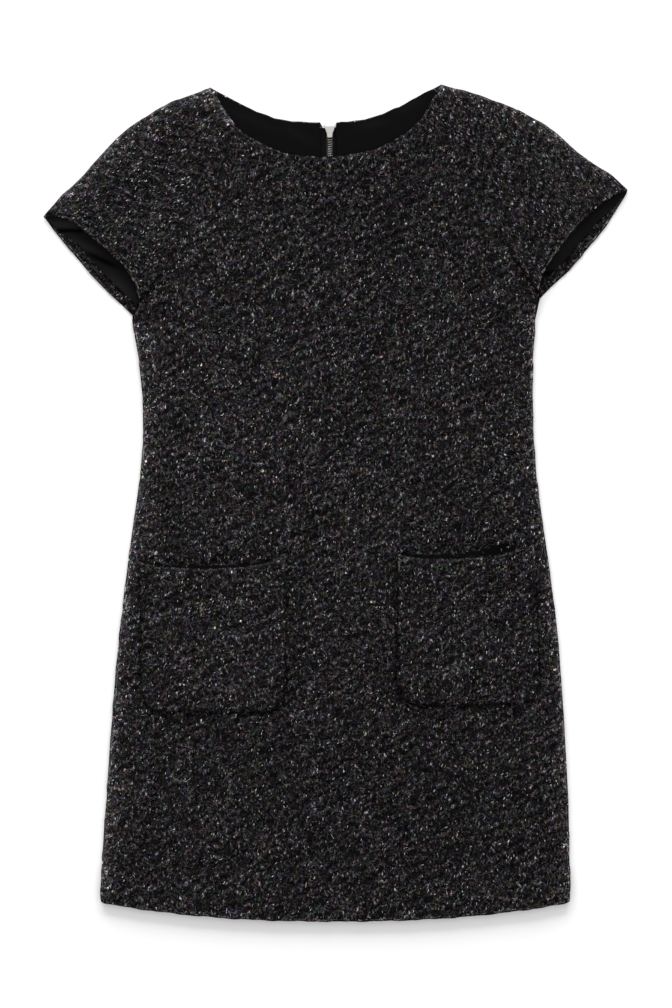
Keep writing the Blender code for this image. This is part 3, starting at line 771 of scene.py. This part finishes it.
def edge_points(piece, node):
    """Points of the upper face just inside a free edge, and the edge's nearest points."""
    points = points_of(piece)
    upper, _ = upper_and_rim(piece)
    inner, rim = [], []
    for i in np.flatnonzero(upper):
        x, y, z = points[i]
        off, kind = edge_tables[node][i]
        at_corner = any(math.hypot(x - row[0], y - row[1]) < CORNER_GAP for row in CORNERS)
        if EDGE_BAND[0] < off < EDGE_BAND[1] and kind not in ("seam", "sewn") and not at_corner:
            inner.append((x, y, z))
            rim.append(rims[node].find((x, y, 0))[0].to_tuple())
    return np.array(inner), np.array(rim)


# %% Turn, bend and colour the loops
def loop_shapes(node, generator, on_face, on_edge):
    """Where each loop stands, how it is turned, its radius, sweep and lift, and which are slubs."""
    places = face_places(node, generator, on_face)
    # most loops stand along the dress, and the others lie along the ribs
    steep = generator.random(on_face) < 0.65
    lean = np.where(steep, generator.normal(80, 28, on_face), generator.normal(28, 16, on_face))
    turn = np.radians(lean - 90 - GRAINS[node] + 180 * generator.integers(0, 2, on_face))
    # edge loops lie along the edge
    inner, rim = edge_points(tweed_pieces[node], node)
    picked = generator.choice(len(rim), on_edge)
    out = rim[picked, :2] - inner[picked, :2]
    places = np.concatenate([places, inner[picked]])
    turn = np.concatenate([turn, np.arctan2(out[:, 1], out[:, 0]) + generator.normal(0, 0.25, on_edge)])
    count = on_face + on_edge
    radius = np.append(generator.uniform(1.0, 3.0, on_face), np.full(on_edge, EDGE_RADIUS))
    sweep = generator.uniform(1.0, 2.6, count) / np.maximum(radius / 1.6, 1)
    lift = generator.uniform(0.05, 0.4, count)
    # pale slubs are short, and stand steeply
    slub = (generator.random(count) < SLUB_SHARE) & (np.arange(count) < on_face)
    turn[slub] = np.radians(generator.normal(-8, 18, slub.sum()) - GRAINS[node])
    radius[slub] = SLUB_RADIUS
    sweep[slub] = generator.uniform(0.4, 1.3, slub.sum())
    lift[slub] += 0.25
    return places, turn, radius, sweep, lift, slub


def loop_shade(node, generator, places, slub, on_face):
    """A colour for each loop: how light its yarn is, with painted light and shade, and a slight tint."""
    count = len(places)
    tones = np.exp(generator.normal(math.log(LOOP_LIGHT), 0.85, count))[:, None]
    # painted light: the loops along the edges are painted lighter
    tones[on_face:] *= 1.2
    tones[slub] = np.exp(generator.normal(math.log(SLUB_LIGHT), 0.5, (slub.sum(), 1)))
    # the painted light and shade of the cloth beneath reach the loops too
    tones *= painted_shading_at(node, places, [edge_of(node, x, y) for x, y, _ in places])[:, None] ** 0.8
    tint = 1 + generator.normal(0, 0.10, (count, 3))
    return np.concatenate([np.clip(tones * tint, 0, 0.5), np.ones((count, 1))], 1)


# %% Lay the loops
def laid_loops(node, seed):
    """All the loops of one piece, as one mesh."""
    on_face, on_edge = LOOP_COUNTS[node]
    generator = np.random.default_rng(seed)
    places, turn, radius, sweep, lift, slub = loop_shapes(node, generator, on_face, on_edge)
    bend = turn[:, None] + sweep[:, None] * (ribbon_along - 0.5)
    reach = radius[:, None] + ribbon_side * YARN_WIDTH
    x = places[:, 0, None] + reach * np.cos(bend) - (radius * np.cos(turn))[:, None]
    y = places[:, 1, None] + reach * np.sin(bend) - (radius * np.sin(turn))[:, None]
    z = places[:, 2, None] + 0.12 + lift[:, None] * np.sin(math.pi * ribbon_along) + ribbon_side * 0.25
    points = np.stack([x, y, np.maximum(z, LOWEST)], 2).reshape(-1, 3)
    faces = ribbon_faces[None] + np.arange(len(places))[:, None, None] * len(ribbon_along)
    mesh = bpy.data.meshes.new(node + "_loops")
    mesh.from_pydata(points * MM, [], faces.reshape(-1, 4).tolist())
    shades = mesh.color_attributes.new("shade", "FLOAT_COLOR", "POINT")
    shade = loop_shade(node, generator, places, slub, on_face)
    shades.data.foreach_set("color", np.repeat(shade, len(ribbon_along), axis=0).ravel())
    loops = bpy.data.objects.new(node + "_loops", mesh)
    bpy.context.scene.collection.objects.link(loops)
    finish(loops, "dress", loop_material)
    return loops


loop_pieces = {node: laid_loops(node, 40 + seed) for seed, node in enumerate(LOOP_COUNTS)}

# %% [markdown]
# ## Lining
# The linings lie on the backs, and show only in the neck and in the cuffs.  They are refined in
# the same way as the tweed.  Satin folds in long soft runs: each one here is a low ridge, or a
# trough where the height is negative, and the fold attribute paints light on the
# ridges and shade in the troughs.

# %% Build the linings
# start x, y, end x, y, height, width, and how much painted light the satin gets there, painted shade where
# below zero
LINING_FOLDS = {
    "lining_sleeve_left": (
        (-304, 298, -266, 296, 0.9, 6, 3.0), (-306, 290, -270, 290, -0.8, 2.4, -3.2),
        (-276, 289, -262, 297, -0.6, 2.4, -2.4), (-276, 272, -229, 249, -0.9, 3.0, -2.4),
        (-284, 280, -246, 264, 0.6, 6, 1.6), (-246, 246, -214, 216, 0.6, 7, 1.3)),
    "lining_sleeve_right": (
        (226, 258, 262, 292, 0.6, 7, 1.2), (268, 300, 296, 318, 0.5, 6, 0.5),
        (216, 244, 244, 246, -0.7, 3, -2.0)),
    "lining_back_left": ((-120, 420, -60, 392, 0.6, 6, 0.3), (-60, 402, -24, 380, 0.5, 5, 0.35)),
    "lining_back_right": ((20, 400, 60, 404, 0.6, 5, 0.5), (60, 412, 98, 430, 0.5, 6, 0.4)),
}


# painted light: satin in a cuff is painted lighter than satin in the neck
CUFF_PAINTED_SATIN_LIGHT, NECK_PAINTED_SATIN_LIGHT = 2.0, 1.0


def make_lining(node):
    """One piece of satin lining with its folds."""
    piece = copy_of(node, node + "_satin")
    refine(piece, 2.5)
    smooth_heights(piece, 12)
    points = points_of(piece)
    upper, _ = upper_and_rim(piece)
    fold = np.full(len(points), CUFF_PAINTED_SATIN_LIGHT if "sleeve" in node else NECK_PAINTED_SATIN_LIGHT)
    for x0, y0, x1, y1, height, width, light in LINING_FOLDS[node]:
        points[upper, 2] += crease(points[upper], (x0, y0), (x1, y1), height, width)
        fold += crease(points, (x0, y0), (x1, y1), light, width)
    piece.data.attributes.new("fold", "FLOAT", "POINT").data.foreach_set("value", fold.clip(0.1, 6))
    wander(points)
    move_points(piece, points)
    finish(piece, "dress", lining_material, node)
    return piece


linings = {node: make_lining(node) for node in LINING_FOLDS}

# %% [markdown]
# ## Inside the pockets
# The mouth of each patch pocket gapes, and shows the black lining of its bag.  A strip of satin
# lies on the front panel there, tucked under the pocket; its upper edge follows the gape, and its
# satin is painted darker than the other lining, as painted shade inside the pocket.  It starts as
# a grid, whose points are then laid on the front panel one by one.

# %% Pocket bags
# rows of x, lower y, upper y in millimetres along each mouth
BAGS = {
    "left": ((-204, -68, -64), (-182, -72, -66.6), (-161, -74, -67.6), (-145, -75, -66.9),
             (-129, -75, -66.7), (-107, -73, -66.2), (-90, -70, -64.6), (-75, -67, -62.3),
             (-70, -66, -61.9)),
    "right": ((66, -60, -53.5), (84, -66, -55.2), (104, -69, -55.8), (126, -69, -55.2),
              (146, -67, -52.8), (160, -64, -49.3), (174, -61, -44.3), (185, -58, -43.2),
              (191, -55, -47)),
}
BAG_GRID = (88, 6)


def pocket_bag(side):
    """A strip of lining over the front panel, frayed a little along its upper edge."""
    bpy.ops.object.select_all(action="DESELECT")
    bpy.ops.mesh.primitive_grid_add(x_subdivisions=BAG_GRID[0], y_subdivisions=BAG_GRID[1], size=1 * MM)
    bag = bpy.context.object
    bag.name = "pocket_bag_" + side
    rows = np.array(BAGS[side], float)
    points = points_of(bag)
    x = rows[0, 0] + (rows[-1, 0] - rows[0, 0]) * (points[:, 0] + 0.5)
    low, high = (np.interp(x, rows[:, 0], rows[:, k]) for k in (1, 2))
    high = high + 0.4 * np.sin(x / 2.3) + 0.3 * np.sin(x / 1.1)
    y = low + (high - low) * (points[:, 1] + 0.5)
    above = [(a * MM, b * MM, 0.03) for a, b in zip(x, y)]
    hits = [tweed_pieces["front_panel"].ray_cast(place, (0, 0, -1))[1].z / MM for place in above]
    move_points(bag, np.stack([x, y, np.array(hits) + 0.35], 1))
    # painted shade: the bag's satin is painted darker than the lining in the neck
    bag.data.attributes.new("fold", "FLOAT", "POINT").data.foreach_set("value", np.full(len(x), 0.7))
    finish(bag, "dress", lining_material)
    return bag


bags = {side: pocket_bag(side) for side in BAGS}

# %% [markdown]
# ## The zip
# A metal zip's teeth are clamped on the cords along the edges of its two tapes.  One bevelled
# tooth is repeated along the chain with an Array modifier, and made again for the other side, a
# small part of a pitch further on, so that the two heads meet in the middle.  Each cord is a
# bevelled bar under the teeth.  Teeth and cords are made level, and then follow the chain's height.
# The slider, pull tab and stops keep their CAD form, with a small bevel to catch the light.

# %% Zip sizes and helpers
TOOTH_PITCH = 2.45
TOOTH = (2.3, 0.75, 2.2)
TOOTH_BEVEL = 0.12
HEAD_OVERLAP = 0.15    # how far each tooth's head reaches past the middle
SIDE_SHIFT = 0.12      # how far on the right-hand teeth are, as a share of the pitch
CORD = (2.5, 1.1)
CORD_LOWER = 0.3       # how far the cord's middle lies below the teeth's, and its bevel
chain_low, chain_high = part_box("zip_chain")
chain_points = points_of(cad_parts["zip_chain"])
stations = np.unique(chain_points[:, 1])
chain_heights = [chain_points[np.isclose(chain_points[:, 1], y), 2].mean() for y in stations]
print("the chain is", round((chain_high[1] - chain_low[1]) / MM), "mm long")


def bar(width, length, height, place, bevel):
    """A cube pulled out to a bar of this size and bevelled; place is its middle, all in millimetres."""
    bpy.ops.object.select_all(action="DESELECT")
    bpy.ops.mesh.primitive_cube_add(size=1, location=[v * MM for v in place])
    piece = bpy.context.object
    piece.scale = (width * MM, length * MM, height * MM)
    bpy.ops.object.transform_apply(location=True, rotation=True, scale=True)
    bpy.ops.object.mode_set(mode="EDIT")
    bpy.ops.mesh.select_all(action="SELECT")
    bpy.ops.mesh.bevel(offset=bevel * MM, segments=1)
    bpy.ops.object.mode_set(mode="OBJECT")
    return piece


def joined(pieces, name):
    """Join the pieces into the first one, and name it."""
    bpy.ops.object.select_all(action="DESELECT")
    for piece in pieces:
        piece.select_set(True)
    bpy.context.view_layer.objects.active = pieces[0]
    bpy.ops.object.join()
    pieces[0].name = name
    return pieces[0]


def follow_chain(piece):
    """Lift a piece that was made level to the chain's height at each place along it."""
    points = points_of(piece)
    points[:, 2] += np.interp(points[:, 1], stations, chain_heights)
    move_points(piece, points)


# %% Teeth and cords
middle_x = (chain_low[0] + chain_high[0]) / 2 / MM
low_y, high_y = chain_low[1] / MM, chain_high[1] / MM
teeth, cords = [], []
for side, shift in ((-1, 0.0), (1, SIDE_SHIFT)):
    start = low_y + TOOTH[1] / 2 + shift * TOOTH_PITCH
    tooth = bar(*TOOTH, (middle_x + side * (TOOTH[0] / 2 - HEAD_OVERLAP), start, 0), TOOTH_BEVEL)
    repeat = tooth.modifiers.new("repeat", "ARRAY")
    repeat.use_relative_offset = False
    repeat.use_constant_offset = True
    repeat.constant_offset_displace = (0, TOOTH_PITCH * MM, 0)
    repeat.count = int((high_y - TOOTH[1] / 2 - start) / TOOTH_PITCH) + 1
    bpy.ops.object.modifier_apply(modifier="repeat")
    teeth.append(tooth)
    place = (middle_x + side * (CORD[0] / 2 + 0.1), (low_y + high_y) / 2, -CORD_LOWER)
    cord = bar(CORD[0], high_y - low_y - 1, CORD[1], place, CORD_LOWER)
    bpy.ops.object.mode_set(mode="EDIT")
    for station in stations[1:-1]:
        bpy.ops.mesh.select_all(action="SELECT")
        bpy.ops.mesh.bisect(plane_co=(0, station * MM, 0), plane_no=(0, 1, 0))
    bpy.ops.object.mode_set(mode="OBJECT")
    cords.append(cord)
chain = joined(teeth, "zip_teeth")
follow_chain(chain)
finish(chain, "dress", teeth_material, "zip_chain")
cord = joined(cords, "zip_tape_cords")
follow_chain(cord)
finish(cord, "dress", tape_material)


# %% Slider, pull tab, stops and tapes
def bevelled(node, name, body, material, width):
    """A copy of a CAD node with its sharp edges bevelled."""
    piece = copy_of(node, name)
    bevel = piece.modifiers.new("bevel", "BEVEL")
    bevel.width = width * MM
    bevel.segments = 2
    bevel.limit_method = "ANGLE"
    bpy.ops.object.modifier_apply(modifier="bevel")
    finish(piece, body, material, node)
    return piece


bevelled("zip_slider", "zip_slider_body", "dress", slider_material, 0.3)
bevelled("zip_pull_tab", "zip_pull", "pull_tab", slider_material, 0.25)
for node in ("zip_top_stop_left", "zip_top_stop_right", "zip_bottom_stop"):
    bevelled(node, node + "_crimped", "dress", slider_material, 0.2)
for node in ("zip_tape_left", "zip_tape_right"):
    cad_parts[node].data.materials.clear()
    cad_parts[node].data.materials.append(tape_material)

# %% [markdown]
# ## Cut sizes
# Cloth laid flat keeps its cut size, so each piece is the finished panel; seam allowances and
# turnings are not built.

# %% [markdown]
# ## Floor, light and camera
# The dress lies on white paper under a white sky of soft light.  A wall of light beyond the neck
# comes in low, and gives the hem its short shadow.  The camera looks straight down, from far
# enough away that the dress keeps its true outline.

# %% Floor
FLOOR_SIZE = 12
FLOOR_WHITE = 0.93
floor_material, _, floor_shader = new_material("white_paper_floor")
floor_shader.inputs["Base Color"].default_value = (FLOOR_WHITE, FLOOR_WHITE, FLOOR_WHITE, 1)
floor_shader.inputs["Roughness"].default_value = 0.9
floor_shader.inputs["Specular IOR Level"].default_value = 0.0
bpy.ops.object.select_all(action="DESELECT")
bpy.ops.mesh.primitive_plane_add(size=FLOOR_SIZE, location=(0, 0, 0))
floor = bpy.context.object
floor.name = "floor"
floor.data.materials.append(floor_material)
print("floor:", FLOOR_SIZE, "m square")

# %% Light
ROOM_LIGHT = 0.78
KEY_WATTS = 540
KEY_PLACE = (-0.3, 5.0, 1.75)
KEY_SIZE = (6.0, 2.9)
world = bpy.data.worlds.new("soft_white_room")
world.use_nodes = True
world.node_tree.nodes["Background"].inputs["Color"].default_value = (1, 1, 1, 1)
world.node_tree.nodes["Background"].inputs["Strength"].default_value = ROOM_LIGHT
bpy.context.scene.world = world
bpy.ops.object.select_all(action="DESELECT")
bpy.ops.object.light_add(type="AREA", location=KEY_PLACE, rotation=(math.radians(-90), 0, 0))
key = bpy.context.object
key.name = "wall_of_light"
key.data.shape = "RECTANGLE"
key.data.size, key.data.size_y = KEY_SIZE
key.data.energy = KEY_WATTS
print("wall of light:", KEY_SIZE, "m,", KEY_WATTS, "W")

# %% Camera
VIEW_HEIGHT = 3.2      # metres above the floor
FRAME_HEIGHT = 1.0755  # metres of floor that the view's height takes in
VIEW_CENTRE = (0.0004, -0.0013)
SENSOR = 36            # millimetres
bpy.ops.object.camera_add(location=(*VIEW_CENTRE, VIEW_HEIGHT), rotation=(0, 0, 0))
camera = bpy.context.object
camera.data.sensor_width = SENSOR
camera.data.lens = SENSOR * VIEW_HEIGHT / FRAME_HEIGHT
bpy.context.scene.camera = camera
bpy.context.scene.view_settings.view_transform = "Standard"
print("lens:", round(camera.data.lens), "mm")
